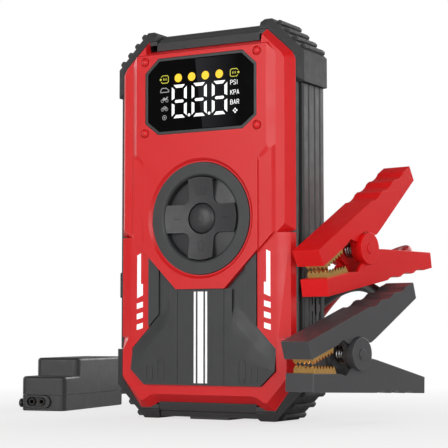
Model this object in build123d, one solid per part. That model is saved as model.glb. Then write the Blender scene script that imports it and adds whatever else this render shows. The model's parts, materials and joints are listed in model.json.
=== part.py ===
"""A jump starter pack: the upright pack with its display, keys and tyre pump, the clamp module
that plugs into it, and the red and black battery clamps on their two stiff leads.

Millimetres. X is across the front, Y runs from the front (-Y) to the back, Z is up.
The origin is the centre of the pack's underside, on the surface it stands on.
"""
from build123d import *
import math
import os

# Depths of the front's steps, along Y.
PLATE = -23.0
STRIP = -22.0
FRAME = -20.2
FACET = -18.0
RIM = -15.0
# The middle housing and the rear cover.
REAR_RIM = 16.0
BACK = 23.0
SIDE = 56.0
WALL = 2.4
BUMPER_SIDE = 60.3
BUMPER_FRONT = -13.4
BUMPER_REAR = 14.3
HEIGHT = 220.0
# The key ring on the front.
KEY_Z = 110.9
RING_R = 31.2
DISH_R = 23.4
KEY_R = 22.9
ARM = 7.75
POWER_R = 8.3
# The drive of the tyre pump: a pinion and a gear of module 1.
PINION_TEETH = 8
GEAR_TEETH = 36
GEAR_X, GEAR_Z = 6.0, 140.0
GEAR_FRONT = -5.6
GEAR_THICK = 3.6
PISTON_R = 10.9
STROKE = 12.0
# The clamp module on the floor.
MODULE_X, MODULE_Y, MODULE_YAW = -133.2, 11.3, 10.3
MODULE_LONG, MODULE_WIDE, MODULE_HIGH = 90.0, 29.5, 32.0
NOSE_LONG, NOSE_HIGH = 20.0, 21.0
PARTING = 9.6
# The clamps: how far a lever reaches ahead of and behind its pivot, and its width.
TIP, TAIL = 39.5, 64.5
CLAMP_HALF = 8.75
CLAMP_WALL = 2.0
EAR_R = 8.7
GAPE = 20.2
CLAMP_YAW = -9.5
RED_PIVOT, RED_PITCH = (75.5, 14.9, 93.4), 10.2
BLACK_PIVOT, BLACK_PITCH = (84.6, -15.7, 36.8), -2.0
# The leads: their centre lines, from the module to the clamp.
LEAD_R = 3.25
RED_ROUTE = [
    (-157.97, 108.44, 9.5), (-162.8, 135.1, 9.5), (-148.2, 165.9, 6.0), (-118.3, 182.4, 4.2),
    (-85.3, 178.5, 4.2), (-48.0, 144.5, 12.5), (-20.5, 123.0, 31.5), (6.0, 104.0, 54.0),
    (32.0, 89.0, 75.0), (57.5, 78.0, 88.5), (84.96, 71.42, 93.96), (81.1, 48.39, 85.39),
    (77.66, 27.81, 81.63),
]
BLACK_ROUTE = [
    (-144.19, 110.94, 9.5), (-148.5, 134.6, 9.5), (-137.3, 158.2, 6.0), (-114.5, 170.8, 4.2),
    (-89.3, 167.8, 4.2), (-54.5, 133.0, 8.0), (-30.0, 110.5, 23.5), (-4.0, 90.5, 43.5),
    (22.0, 72.0, 61.5), (47.5, 56.5, 73.5), (71.0, 43.0, 75.5), (92.17, 29.53, 62.19),
    (88.74, 9.06, 59.69), (85.58, -9.86, 53.38),
]

PARTS = {}


# ---- small helpers -------------------------------------------------------------------------

def both(half):
    """The whole outline from its right half."""
    return half + [(-x, z) for x, z in reversed(half)]


def flat(points, y):
    """A face at depth y with this X-Z outline."""
    return Face(Wire.make_polygon([Vector(x, y, z) for x, z in points], close=True))


def slab(points, front, back):
    """A plate with this X-Z outline, between two depths."""
    return extrude(flat(points, front), amount=back - front, dir=(0, 1, 0))


def bevelled(points_a, y_a, points_b, y_b):
    """A body whose X-Z outline changes straight from one depth to another."""
    return loft([flat(points_a, y_a), flat(points_b, y_b)], ruled=True)


def upright(points, low, high):
    """A bar with this X-Y outline, between two heights."""
    face = Face(Wire.make_polygon([Vector(x, y, low) for x, y in points], close=True))
    return extrude(face, amount=high - low, dir=(0, 0, 1))


def across(points, left, right):
    """A bar with this Y-Z outline, between two X places."""
    face = Face(Wire.make_polygon([Vector(left, y, z) for y, z in points], close=True))
    return extrude(face, amount=right - left, dir=(1, 0, 0))


def block(x, y, z):
    """A box from three (low, high) pairs."""
    size = [high - low for low, high in (x, y, z)]
    middle = [(high + low) / 2 for low, high in (x, y, z)]
    return Pos(*middle) * Box(*size)


def disc(x, z, radius, front, back):
    """A round along Y, centred at (x, z)."""
    return Pos(x, (front + back) / 2, z) * Rot(90, 0, 0) * Cylinder(radius, back - front)


def cone(x, z, radius_front, radius_back, front, back):
    """A cone along Y whose radius changes from front to back."""
    return (Pos(x, (front + back) / 2, z) * Rot(90, 0, 0)
            * Cone(radius_back, radius_front, back - front))


def post(x, y, radius, low, high):
    """A round along Z."""
    return Pos(x, y, (low + high) / 2) * Cylinder(radius, high - low)


def turned(x, z, points):
    """A round body about the Y axis through (x, z), from its (radius, y) outline."""
    face = Face(Wire.make_polygon([Vector(r, y, 0) for r, y in points], close=True))
    return Pos(x, 0, z) * revolve(face, Axis.Y)


def mirrored_x(shape):
    return mirror(shape, about=Plane.YZ)


def group(shapes):
    """Separate solids kept in one node."""
    solids = [s for shape in shapes for s in shape.solids()]
    return Compound(children=solids)


def add(name, shape):
    PARTS[name] = shape


# ---- the front cover -----------------------------------------------------------------------

PLATE_TOP, PLATE_HALF = 204.5, 41.9
NOTCH_HALF = 36.5
V_HALF, V_LOW = 15.5, 71.9
WINDOW = both([(27.25, 202.2), (35.9, 194.3), (35.9, 165.7), (27.25, 158.9)])
LOWER_OPENING = both([(15.5, 71.9), (34.8, 91.4), (34.8, 50.8), (46.1, 39.2), (46.1, 27.2),
                      (37.3, 18.95)])
HOLLOW = both([(42.5, 200.5), (42.5, 106.0), (33.0, 96.5), (14.0, 77.5)])
CAP_SPOTS = [(sx * 36.2, z) for sx in (1, -1) for z in (200.9, 160.2)]


def front_cover():
    mid = both([(37.3, 205.8), (37.9, 210.2), (49.9, 198.8), (51.5, 195.6), (51.5, 106.5),
                (46.4, 101.6)])
    rim = both([(37.3, 208.0), (38.3, 214.0), (53.9, 199.8), (55.8, 196.0), (55.8, 103.0),
                (50.4, 101.6)])
    body = bevelled(mid, FRAME, rim, RIM)
    side_bevel = upright(both([(PLATE_HALF, PLATE), (46.2, FRAME), (46.2, RIM)]), 140, PLATE_TOP)
    for sx in (1, -1):
        corner = [(46.3 * sx, 199.8), (PLATE_HALF * sx, PLATE_TOP), (50 * sx, PLATE_TOP + 1)]
        side_bevel -= slab(corner, PLATE - 1, RIM + 1)
    top_bevel = across([(PLATE, PLATE_TOP), (RIM, 208), (RIM, 190), (PLATE, 190)],
                       -PLATE_HALF, PLATE_HALF)
    notch_front = [(NOTCH_HALF, 90), (NOTCH_HALF, 143.9), (PLATE_HALF, 149.0), (48, 154.8), (48, 90)]
    notch_back = [(36.9, 90), (36.9, 140.7), (44.5, 147.6), (48, 150.8), (48, 90)]
    notch = bevelled(notch_front, PLATE - 0.01, notch_back, STRIP)
    upper = side_bevel + top_bevel
    upper = upper - notch - mirrored_x(notch)
    strips = upright(both([(36.9, STRIP), (44.5, STRIP), (46.2, FRAME), (46.2, RIM)]), 92, 150)
    above = slab([(30, 134.2), (36.9, 140.7), (48, 151.2), (48, 160), (30, 160)], PLATE, RIM + 1)
    strips = strips - above - mirrored_x(above)
    plate = slab(both([(NOTCH_HALF, 150), (NOTCH_HALF, 93.1), (V_HALF, V_LOW)]), PLATE, RIM)
    below = slab([(36.4, 93.0), (48, 104.4), (48, 80), (36.4, 80)], PLATE - 1, FRAME)
    strips = strips - below - mirrored_x(below)
    leg = upright([(34.8, FRAME), (47.6, FRAME), (54, FACET), (55.8, RIM), (34.8, RIM)], 45.5, 101.6)
    low_front = both([(47.6, 60), (47.6, 46), (52.4, 38), (52.4, 24.3), (50.0, 20.8),
                      (40.4, 10.3), (38.8, 10.3), (33.6, 13.3), (30.5, 13.8)])
    low_rim = both([(50.5, 60), (54.8, 46), (55.8, 38), (55.8, 22.5), (53.6, 19.6),
                    (43.1, 6.0), (37.4, 6.0), (33.4, 7.9), (30.5, 9.4)])
    low = bevelled(low_front, FRAME, low_rim, RIM)
    cover = body + upper + strips + leg + mirrored_x(leg) + low
    cover -= slab(LOWER_OPENING, PLATE - 1, RIM + 1)
    cover += plate
    cover -= slab(HOLLOW, PLATE + 3.0, RIM + 1)
    cover -= slab(grown(WINDOW, 0.15), PLATE - 1, RIM + 1)
    cover -= cone(0, KEY_Z, RING_R + 2.4, RING_R + 0.8, PLATE, PLATE + 1.4)
    cover -= disc(0, KEY_Z, RING_R + 0.2, PLATE - 1, RIM + 1)
    cover -= disc(0, KEY_Z, 33.0, PLATE + 3.0, RIM + 1)
    for x, z in CAP_SPOTS:
        cover -= disc(x, z, 2.75, PLATE - 1, PLATE + 1.1)
        cover += disc(x, z, 4.0, PLATE + 1.1, RIM) - disc(x, z, 1.3, PLATE + 3, RIM + 1)
    return cover


def grown(points, by):
    """The outline moved outward by this much (inward if negative)."""
    wire = Wire.make_polygon([Vector(x, z, 0) for x, z in points], close=True)
    moved = Face(wire.offset_2d(by, kind=Kind.INTERSECTION)) if by else Face(wire)
    corners = moved.outer_wire().order_edges()
    return [(e.position_at(0).X, e.position_at(0).Y) for e in corners]


def cap():
    dome = turned(0, 0, [(0, -1.25), (1.0, -1.1), (1.8, -0.65), (2.3, 0.0), (2.3, 1.0), (0, 1.0)])
    return Pos(0, PLATE, 0) * dome


add("front_cover", front_cover())
add("cover_screw_caps", group([Pos(x, 0, z) * cap() for x, z in CAP_SPOTS]))

# ---- the display ---------------------------------------------------------------------------

BEZEL_RIM = 1.6
LENS_FRONT = PLATE + 0.7
lens_outline = grown(WINDOW, -BEZEL_RIM - 0.05)
bezel = slab(WINDOW, PLATE, PLATE + 2.6) - slab(grown(WINDOW, -BEZEL_RIM), PLATE - 1, PLATE + 3)
bezel += slab(grown(WINDOW, 1.5), PLATE + 3.1, PLATE + 4.2) & slab(grown(HOLLOW, -0.15), PLATE, RIM)
bezel += slab(WINDOW, PLATE + 2.2, PLATE + 4.2)
bezel -= slab(grown(WINDOW, -BEZEL_RIM), PLATE - 1, PLATE + 2.2)
bezel -= slab(grown(WINDOW, -3.6), PLATE - 1, PLATE + 5)
for x, z in CAP_SPOTS:
    bezel -= disc(x, z, 4.15, PLATE + 3.0, PLATE + 5)
add("display_bezel", bezel)
add("display_lens", slab(lens_outline, LENS_FRONT, PLATE + 2.1))
add("display_module", block((-29.5, 29.5), (PLATE + 2.3, PLATE + 6.5), (165.8, 194.8)))
add("display_board", block((-31.6, 31.6), (PLATE + 6.7, PLATE + 8.1), (147.0, 199.0)))

# ---- the key ring --------------------------------------------------------------------------

ring = turned(0, KEY_Z, [(DISH_R, -21.6), (24.6, -22.6), (RING_R, -22.6), (RING_R, -18.4),
                         (32.6, -18.4), (32.6, -15.6), (12.6, -15.6), (12.6, -16.6),
                         (DISH_R, -16.6)])
add("button_ring", ring)


def cross_outline(half, reach, fillet_r):
    """A cross with arms of this half width, rounded in its inner corners."""
    bars = Rectangle(2 * half, 2 * reach) + Rectangle(2 * reach, 2 * half)
    inner = [v for v in bars.vertices() if abs(abs(v.X) - half) < 0.1 and abs(abs(v.Y) - half) < 0.1]
    return fillet(inner, fillet_r)


def rocker_key():
    skirt = turned(0, KEY_Z, [(0, -17.2), (KEY_R, -17.2), (KEY_R, -18.3), (14.0, -19.4), (0, -20.6)])
    cross = extrude(Plane.XZ.offset(17.2) * cross_outline(ARM, KEY_R + 2, 4.0), amount=5.4)
    cross = Pos(0, 0, KEY_Z) * cross
    cross &= disc(0, KEY_Z, KEY_R, -23, -17)
    dish_radius = 118.0
    cross -= Pos(0, -20.3 - dish_radius, KEY_Z) * Sphere(dish_radius)
    key = skirt + cross
    key -= disc(0, KEY_Z, POWER_R + 0.45, -24, -16)
    return key


add("rocker_key", rocker_key())
power = turned(0, KEY_Z, [(0, -22.7), (3.0, -22.55), (5.6, -22.05), (7.4, -21.2), (POWER_R, -20.2),
                          (POWER_R, -18.0), (3.0, -18.0), (3.0, -16.8), (0, -16.8)])
add("power_button", power)
membrane = disc(0, KEY_Z, 12.1, -15.9, -15.2)
membrane += disc(0, KEY_Z, 18.5, -15.2, -14.75)
add("keypad_membrane", membrane)
switches = [(0, 0), (14.5, 0), (-14.5, 0), (0, 14.5), (0, -14.5)]
add("tact_switches", group([block((x - 2.6, x + 2.6), (-14.25, -12.7), (KEY_Z + z - 2.6, KEY_Z + z + 2.6))
                            for x, z in switches]))
add("key_board", block((-24, 24), (-12.6, -11.2), (KEY_Z - 24, KEY_Z + 24)))

# ---- the lower panel -----------------------------------------------------------------------

PANEL_BASE, PANEL_FACE, PANEL_STRIP = -19.8, -21.8, -21.3


def lower_panel():
    outline = grown(LOWER_OPENING, -0.15)
    panel = slab(outline, PANEL_BASE, RIM)
    face = both([(14.9, 71.7), (19.8, 71.7), (19.8, 53.6), (45.9, 27.6), (45.9, 27.3), (37.2, 19.1)])
    face = slab(face, PANEL_FACE, RIM) & slab(outline, PLATE, RIM)
    wing_front = [(19.0, 53.0), (19.0, 54.7), (46.4, 27.5), (46.4, 26.4)]
    wing_base = [(19.0, 53.0), (20.6, 63.1), (46.4, 38.2), (46.4, 26.4)]
    wing = bevelled(wing_front, PANEL_FACE, wing_base, PANEL_BASE)
    wing &= slab(outline, PLATE, RIM)
    strip = slab([(27.8, 84.2), (34.6, 91.0), (34.6, 51.3), (27.8, 58.3)], PANEL_STRIP, RIM)
    panel = panel + face + wing + mirrored_x(wing) + strip + mirrored_x(strip)
    for sx in (1, -1):
        panel -= block((sx * 15.0 - 0.25, sx * 15.0 + 0.25), (-24, PANEL_FACE + 0.5), (19, 72))
        for x, low, high in ((26.0, 20.8, 33.5), (33.5, 20.8, 29.9)):
            pill = RectangleRounded(4.3, high - low, 2.1) - RectangleRounded(3.5, high - low - 0.8, 1.7)
            pill = Plane.XZ.offset(-PANEL_FACE - 0.05) * pill
            panel += Pos(sx * x, 0, (low + high) / 2) * extrude(pill, amount=0.3)
    flange = slab(both([(18.0, 75.0), (33.0, 90.0), (33.0, 51.0), (44.0, 39.0), (44.0, 28.0),
                        (36.0, 21.0)]), RIM, RIM + 1.6)
    return panel + flange


add("lower_panel", lower_panel())

# ---- housing, rear cover, bumpers and rails --------------------------------------------------

HOUSING = both([(38.6, 214.2), (SIDE, 197.9), (SIDE, 22.5), (43.1, 5.4)])
PORT_Y, PORT_Z = (-8.6, 9.6), (43.5, 91.5)
VENT_COLUMNS = [(-5.6, 0), (-1.4, 1), (2.8, 0), (7.0, 1)]


def vents(x_low, x_high):
    """The staggered upright cooling slots on the right side."""
    slots = []
    for y, shifted in VENT_COLUMNS:
        for row in range(4):
            low = 44.0 + 13.0 * row + 6.0 * shifted
            slots.append(block((x_low, x_high), (y - 0.7, y + 0.7), (low, low + 9.5)))
    return slots


def housing():
    shell = slab(HOUSING, RIM, REAR_RIM) - slab(grown(HOUSING, -WALL), RIM - 1, REAR_RIM + 1)
    lip = slab(grown(HOUSING, 1.0), RIM, BUMPER_FRONT) - slab(grown(HOUSING, -WALL), RIM - 1, 0)
    shell += lip & block((-60, 60), (-20, 0), (38.9, 183.1))
    shell -= block((-31.4, 31.4), (RIM - 1, RIM + 1.25), (5.0, 9.4))
    shell -= block((-33.5, 33.5), (RIM - 1, -11.45), (208, 214.5))
    shell -= block((-SIDE - 3, -SIDE + 3), PORT_Y, PORT_Z)
    for slot in vents(SIDE - 4, SIDE + 2):
        shell -= slot
    shell -= post(24.0, 2.0, 5.3, 200, 230)
    shell -= block((-26, 2), (-4, 8), (205, 230))
    for x, z in REAR_SCREWS:
        low, high = sorted((x, math.copysign(SIDE - 1, x)))
        shell += disc(x, z, 3.6, REAR_RIM - 12, REAR_RIM)
        shell += block((low, high), (REAR_RIM - 12, REAR_RIM), (z - 1.5, z + 1.5))
        shell -= disc(x, z, 1.25, REAR_RIM - 10, REAR_RIM + 1)
    return shell


REAR_SCREWS = [(sx * 49.0, z) for sx in (1, -1) for z in (26.0, 108.0, 190.0)]


def rear_cover():
    front = both([(38.3, 213.8), (55.8, 197.6), (55.8, 22.7), (43.1, 5.8)])
    mid = both([(36.9, 209.8), (51.5, 196.0), (51.5, 24.3), (41.4, 10.6)])
    back = both([(34.9, 204.8), (46.4, 193.9), (46.4, 26.2), (39.0, 15.8)])
    cover = bevelled(front, REAR_RIM, mid, BACK - 2.8) + bevelled(mid, BACK - 2.8, back, BACK)
    cover -= slab(grown(mid, -3.2), REAR_RIM - 1, BACK - 2.4)
    cover -= slab(both([(30, 150), (34, 146), (34, 74), (30, 70)]), BACK - 0.6, BACK + 1)
    for row in range(6):
        z = 168.0 + 4.6 * row
        cover -= block((-22, 22), (BACK - 4, BACK + 1), (z, z + 1.8))
    for x, z in REAR_SCREWS:
        cover += disc(x, z, 4.6, REAR_RIM, BACK - 2.6)
        cover -= disc(x, z, 3.1, REAR_RIM + 3.4, BACK + 1)
        cover -= disc(x, z, 1.6, REAR_RIM - 1, BACK + 1)
    return cover


def pan_screw(x, z, head_y, length, head_r=2.8, shank_r=1.25):
    """A screw driven from the back, its head at head_y."""
    screw = disc(x, z, head_r, head_y - 1.7, head_y) + disc(x, z, shank_r, head_y - length, head_y - 1.7)
    slot = block((x - 1.7, x + 1.7), (head_y - 0.8, head_y + 1), (z - 0.35, z + 0.35))
    return screw - slot - Pos(x, 0, z) * Rot(0, 90, 0) * Pos(-x, 0, -z) * slot


add("housing", housing())
add("rear_cover", rear_cover())
add("rear_screws", group([pan_screw(x, z, REAR_RIM + 5.2, 12.5) for x, z in REAR_SCREWS]))

LUG_W, LUG_H = 3.4, 1.9
BEVEL_IN = 4.0


def trimmed(shape, point, normal, y, outward):
    """The shape cut back by a plane that slopes from the edge at depth y towards the rim."""
    px, pz = point
    nx, nz = normal
    slope = Plane(origin=(px, y, pz), z_dir=(1.6 * nx, outward * BEVEL_IN, 1.6 * nz))
    return shape - slope * Pos(0, 0, 50) * Box(300, 300, 100)


def bumper(top, lug_front):
    """The right corner bumper, at the top or at the bottom: a bevelled corner with tread lugs."""
    if top:
        inner = [(56.15, 183.4), (56.15, 198.0), (38.7, 214.4), (33.6, 214.4)]
        outer = [(60.3, 183.4), (60.3, 200.0), (40.4, HEIGHT), (36.2, HEIGHT), (33.6, 218.4)]
    else:
        inner = [(56.15, 38.6), (56.15, 22.5), (43.2, 5.2), (31.5, 5.2)]
        outer = [(60.3, 38.6), (60.3, 18.6), (41.8, 0), (33.0, 0), (31.5, 1.2)]
    body = slab(outer + inner[::-1], RIM, REAR_RIM)
    up = 1 if top else -1
    start, end = outer[1], outer[2]
    run = math.hypot(end[0] - start[0], end[1] - start[1])
    ux, uz = (end[0] - start[0]) / run, (end[1] - start[1]) / run
    nx, nz = abs(uz), up * abs(ux)
    for point, normal in ((start, (1, 0)), (start, (nx, nz)), (end, (0, up))):
        body = trimmed(body, point, normal, BUMPER_FRONT, -1)
        body = trimmed(body, point, normal, BUMPER_REAR, 1)
    lugs = 4 if top else 3
    for k in range(lugs):
        at = run * (k + 0.62) / (lugs + 0.15)
        x, z = start[0] + ux * at, start[1] + uz * at
        corners = []
        for along, out in ((-0.5, -1.0), (-0.5, 0.6), (-0.28, 1.0), (0.28, 1.0), (0.5, 0.6),
                           (0.5, -1.0)):
            corners.append((x + ux * along * LUG_W + nx * out * LUG_H,
                            z + uz * along * LUG_W + nz * out * LUG_H))
        body += slab(corners, lug_front, BUMPER_REAR - 0.4)
    if top:
        body -= across([(-16, 182), (-16, 187.5), (-12.0, 182)], 55, 62)
    return body


for where, is_top in (("top", True), ("bottom", False)):
    add(f"bumper_{where}_right", bumper(is_top, BUMPER_FRONT + 3.6))
    add(f"bumper_{where}_left", mirrored_x(bumper(is_top, BUMPER_FRONT + 0.2)))

top_rail = across([(RIM, 208.3), (-14.4, 213.1), (-12.6, 213.6), (-12.1, 215.3), (-9.9, 215.7),
                   (-9.4, 217.4), (-7.2, 218.1), (13.5, 218.1), (15.5, 216.0), (REAR_RIM, 213.9),
                   (REAR_RIM, 208.3)], -33.4, 33.4)
top_rail -= block((-33.5, 33.5), (-11.5, REAR_RIM + 1), (208, 214.3))
top_rail -= post(24.0, 2.0, 5.3, 200, 230)
top_rail -= block((-26, 2), (-4, 8), (205, 230))
add("top_rail", top_rail)
bottom_rail = across([(RIM, 9.2), (-14.2, 4.7), (-13.2, 3.9), (-12.6, 1.2), (13.6, 1.2),
                      (15.4, 4.0), (REAR_RIM, 9.2)], -31.3, 31.3)
bottom_rail += block((-12.5, 12.5), (-12.2, 13.2), (0, 2))
bottom_rail -= block((-31.4, 31.4), (RIM + 1.2, REAR_RIM + 1), (5.2, 10))
add("bottom_rail", bottom_rail)

RAIL_X = (56.15, 58.5)
RAIL_LOW, RAIL_HIGH = 39.0, 183.0
GROOVES = (-5.0, 2.2, 8.6)


def rail_outline():
    """The X-Y outline of the right rail: four ribs with three grooves between them."""
    x0, x1 = RAIL_X
    points = [(x0, -11.2), (x1 - 0.6, -11.2), (x1, -10.4)]
    for y in GROOVES:
        points += [(x1, y - 1.0), (x1 - 0.9, y - 0.5), (x1 - 0.9, y + 0.5), (x1, y + 1.0)]
    return points + [(x1, 13.2), (x1 - 0.8, 14.2), (x0, 14.2)]


rail = upright(rail_outline(), RAIL_LOW, RAIL_HIGH)
right_rail = rail
for slot in vents(SIDE - 1, SIDE + 4):
    right_rail = right_rail - slot
add("side_rail_right", right_rail)
COVER_LOW, COVER_HIGH = 41.0, 94.0
left_rail = mirrored_x(rail)
add("side_rail_left_low", left_rail & block((-65, -50), (-20, 20), (0, COVER_LOW - 0.5)))
add("side_rail_left_high", left_rail & block((-65, -50), (-20, 20), (COVER_HIGH + 0.5, 200)))

# ---- the port flap and what it covers --------------------------------------------------------

HINGE = (-57.2, 13.0)
flap = mirrored_x(upright(rail_outline(), COVER_LOW, COVER_HIGH))
flap &= block((-65, -50), (-12, 11.2), (0, 200))
flap += block((-57.8, -56.6), (11.0, 13.0), (COVER_LOW + 3, COVER_HIGH - 3))
flap += post(HINGE[0], HINGE[1], 0.9, COVER_LOW + 3, COVER_HIGH - 3)
tab = block((-60.9, -58.0), (-11.4, -6.8), (67.8, 82.3))
tab = fillet(tab.edges().group_by(Axis.X)[0], 1.2)
flap += tab
add("port_flap", flap)

# ---- inside the pack: battery, boards and sockets --------------------------------------------

CELL_THICK, CELL_PITCH = 6.2, 6.4
cells = [block((-39, 41), (-7.0 + CELL_PITCH * k, -7.0 + CELL_PITCH * k + CELL_THICK), (18, 98))
         for k in range(4)]
add("battery_cells", group(cells))
board = block((-40, 40), (-12.6, -11.0), (24, 84))
for x, z, wide, high in ((-30, 34, 16, 13), (-9, 34, 16, 13), (14, 36, 9, 9), (28, 36, 9, 9),
                         (-26, 62, 10, 12), (-8, 64, 14, 14), (16, 66, 8, 8)):
    board += block((x, x + wide), (-11.0, -7.6), (z, z + high))
add("main_board", board)

EC5_Z = (51.0, 61.0)
socket = block((-55.6, -43.4), (-6.8, 6.8), (45.0, 67.0))
for z in EC5_Z:
    bore = Pos(-50.0, 0, z) * Rot(0, 90, 0)
    socket -= bore * Cylinder(3.6, 13)
    socket += bore * (Cylinder(3.2, 9.6) - Cylinder(2.6, 14))
    socket += Pos(-44.4, 0, z) * Rot(0, 90, 0) * Cylinder(3.9, 2.0)
add("ec5_socket", socket)
usb = block((-43.2, -41.8), (-7.0, 8.6), (44.5, 91.0))
usb += block((-55.4, -43.2), (-5.8, 1.0), (70.0, 84.4)) - block((-57, -45), (-5.0, 0.2), (70.8, 83.6))
usb += block((-55.4, -43.2), (3.4, 6.8), (72.4, 81.8)) - block((-57, -45), (4.0, 6.2), (73.0, 81.2))
usb += block((-50.0, -43.2), (-3.6, -1.8), (71.6, 82.8))
add("usb_board", usb)

# ---- the tyre pump ---------------------------------------------------------------------------


def toothed(teeth, width, front):
    """A spur gear of module 1 about the Y axis, with plain straight-sided teeth."""
    pitch_r = teeth / 2
    corners = []
    for k in range(teeth):
        middle = 2 * math.pi * k / teeth
        for radius, half in ((pitch_r - 1.1, 0.95), (pitch_r, 0.56), (pitch_r + 0.8, 0.3)):
            corners.append((radius, middle - half / radius))
        for radius, half in ((pitch_r + 0.8, 0.3), (pitch_r, 0.56), (pitch_r - 1.1, 0.95)):
            corners.append((radius, middle + half / radius))
    points = [(r * math.cos(a), r * math.sin(a)) for r, a in corners]
    return slab(points, front, front + width)


PINION_X = GEAR_X - (PINION_TEETH + GEAR_TEETH) / 2
AXLE_R, AXLE_FIT = 2.0, 0.05
gear = toothed(GEAR_TEETH, GEAR_THICK, GEAR_FRONT)
gear = gear - disc(0, 0, AXLE_R + AXLE_FIT, -9, 9)
gear -= group([disc(11 * math.cos(a), 11 * math.sin(a), 2.6, -9, 9)
               for a in [k * math.pi / 3 for k in range(6)]])
add("drive_gear", Pos(GEAR_X, 0, GEAR_Z) * Rot(0, 5.0, 0) * gear)
pinion = toothed(PINION_TEETH, GEAR_THICK, GEAR_FRONT)
pinion += disc(0, 0, 1.15, GEAR_FRONT - 0.8, 13.8)
add("pinion", Pos(PINION_X, 0, GEAR_Z) * pinion)
motor = disc(PINION_X, GEAR_Z, 12.5, 1.8, 19.6) - disc(PINION_X, GEAR_Z, 1.2, 0, 14.2)
motor -= block((PINION_X - 20, PINION_X + 20), (6, 16), (GEAR_Z + 11.6, GEAR_Z + 14))
add("pump_motor", motor)
frame = block((PINION_X - 14, GEAR_X + 20), (-0.8, 1.6), (118.0, 159.8))
frame -= disc(PINION_X, GEAR_Z, 2.2, -3, 4)
frame += disc(GEAR_X, GEAR_Z, AXLE_R, GEAR_FRONT + 0.2, 0)
frame += disc(GEAR_X, GEAR_Z, 3.4, -1.7, 0)
add("pump_frame", frame)
PUMP_Y = -1.5
cylinder = post(GEAR_X, PUMP_Y, 12.6, 160.0, 186.0)
for k in range(5):
    ridge_low = 163.0 + 4.4 * k
    cylinder -= post(GEAR_X, PUMP_Y, 14, ridge_low, ridge_low + 2.0) - post(
        GEAR_X, PUMP_Y, 11.6, ridge_low - 1, ridge_low + 3)
cylinder -= post(GEAR_X, PUMP_Y, PISTON_R, 150, 190)
add("pump_cylinder", cylinder)
head = block((GEAR_X - 12.6, 31.0), (PUMP_Y - 12.0, 9.5), (186.0, 194.5))
head = fillet(head.edges().filter_by(Axis.Z), 3)
add("pump_head", head + post(24.0, 2.0, 2.5, 194.0, 205.0))
piston = post(GEAR_X, PUMP_Y, PISTON_R - 0.06, 177.0, 184.5)
piston += block((GEAR_X - 3, GEAR_X + 3), (-9.6, -6.4), (146.0, 178.0))
piston += disc(GEAR_X, GEAR_Z + STROKE / 2, 4.2, -9.6, -6.4)
piston += disc(GEAR_X, GEAR_Z + STROKE / 2, 1.55, -6.5, GEAR_FRONT - 0.3)
add("piston", piston)
outlet = post(24.0, 2.0, 5.2, 205.0, 218.6) - post(24.0, 2.0, 3.95, 211.0, 220) - post(24, 2, 1.2, 200, 220)
add("air_outlet", outlet)
lens = block((-25.8, 1.8), (-3.8, 7.8), (214.5, 218.0))
add("lamp_lens", fillet(lens.edges().filter_by(Axis.Z), 2.0))
lamp = block((-24, 0), (-3.4, 7.4), (207.6, 209.0))
for x in (-18.0, -12.0, -6.0):
    lamp += post(x, 2.0, 2.2, 209.0, 211.0)
add("lamp_board", lamp)

# ---- the clamp module ------------------------------------------------------------------------

MODULE = Location((MODULE_X, MODULE_Y, 0), (0, 0, MODULE_YAW))
half = MODULE_WIDE / 2
PLUG_X, PLUG_Z = -3.2, 5.6


def rounded_box(x, y, z, radius):
    shape = block(x, y, z)
    return fillet(shape.edges().filter_by(Axis.Z), radius)


def pill(x, z, wide, high, front, back):
    """A bar along Y with a long round outline, centred at (x, z)."""
    sketch = Plane.XZ.offset(-back) * SlotOverall(wide, high)
    return Pos(x, 0, z) * extrude(sketch, amount=back - front)


base = rounded_box((-half, half), (0, MODULE_LONG), (0, PARTING), 4.0)
base -= rounded_box((-half + 2, half - 2), (2, MODULE_LONG - 2), (2, PARTING + 1), 2.2)
base = chamfer(base.faces().sort_by(Axis.Z)[0].outer_wire().edges(), 0.6)
base -= pill(PLUG_X, PLUG_Z, 18.7, 8.2, -1, 10.3)
tall = rounded_box((-half, half), (NOSE_LONG, MODULE_LONG), (PARTING + 0.25, MODULE_HIGH), 4.0)
nose = rounded_box((-half, half), (0, MODULE_LONG), (PARTING + 0.25, NOSE_HIGH), 4.0)
tall = fillet(tall.faces().sort_by(Axis.Z)[-1].outer_wire().edges(), 1.8)
nose = fillet(nose.faces().sort_by(Axis.Z)[-1].outer_wire().edges(), 1.8)
cover = nose + tall
cover -= rounded_box((-half + 2, half - 2), (2, MODULE_LONG - 2), (PARTING - 1, NOSE_HIGH - 2), 2.2)
cover -= rounded_box((-half + 2, half - 2), (NOSE_LONG + 2, MODULE_LONG - 2),
                     (PARTING, MODULE_HIGH - 2), 2.2)
screw_spots = [(sx * 9.5, y) for sx in (1, -1) for y in (14.0, 78.0)]
for x, y in screw_spots:
    base -= post(x, y, 2.6, -1, 1.7)
    base -= post(x, y, 1.5, -1, 4)
    top = (NOSE_HIGH if y < NOSE_LONG else MODULE_HIGH) - 1
    cover += post(x, y, 3.0, PARTING + 0.25, top) - post(x, y, 1.05, 0, PARTING + 9)
add("module_base", MODULE * base)
add("module_cover", MODULE * cover)
screws = [post(x, y, 2.4, 0.3, 1.7) + post(x, y, 1.05, 1.7, PARTING + 7) for x, y in screw_spots]
add("module_screws", group([MODULE * s for s in screws]))
plug = pill(PLUG_X, PLUG_Z, 18.4, 7.9, -1.6, 10.0) - pill(PLUG_X, PLUG_Z, 12.6, 5.4, -3, 0.6)
plug_contacts = []
for side in (-1, 1):
    x = PLUG_X + side * 3.3
    plug -= disc(x, PLUG_Z, 2.2, 0, 9.0)
    plug_contacts.append(disc(x, PLUG_Z, 2.1, -0.9, 8.9) - disc(x, PLUG_Z, 1.2, -2, 5.0))
add("module_plug", MODULE * plug)
add("plug_contacts", group([MODULE * c for c in plug_contacts]))
module_board = block((-11.5, 11.5), (20.0, 72.0), (11.4, 13.0))
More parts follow.
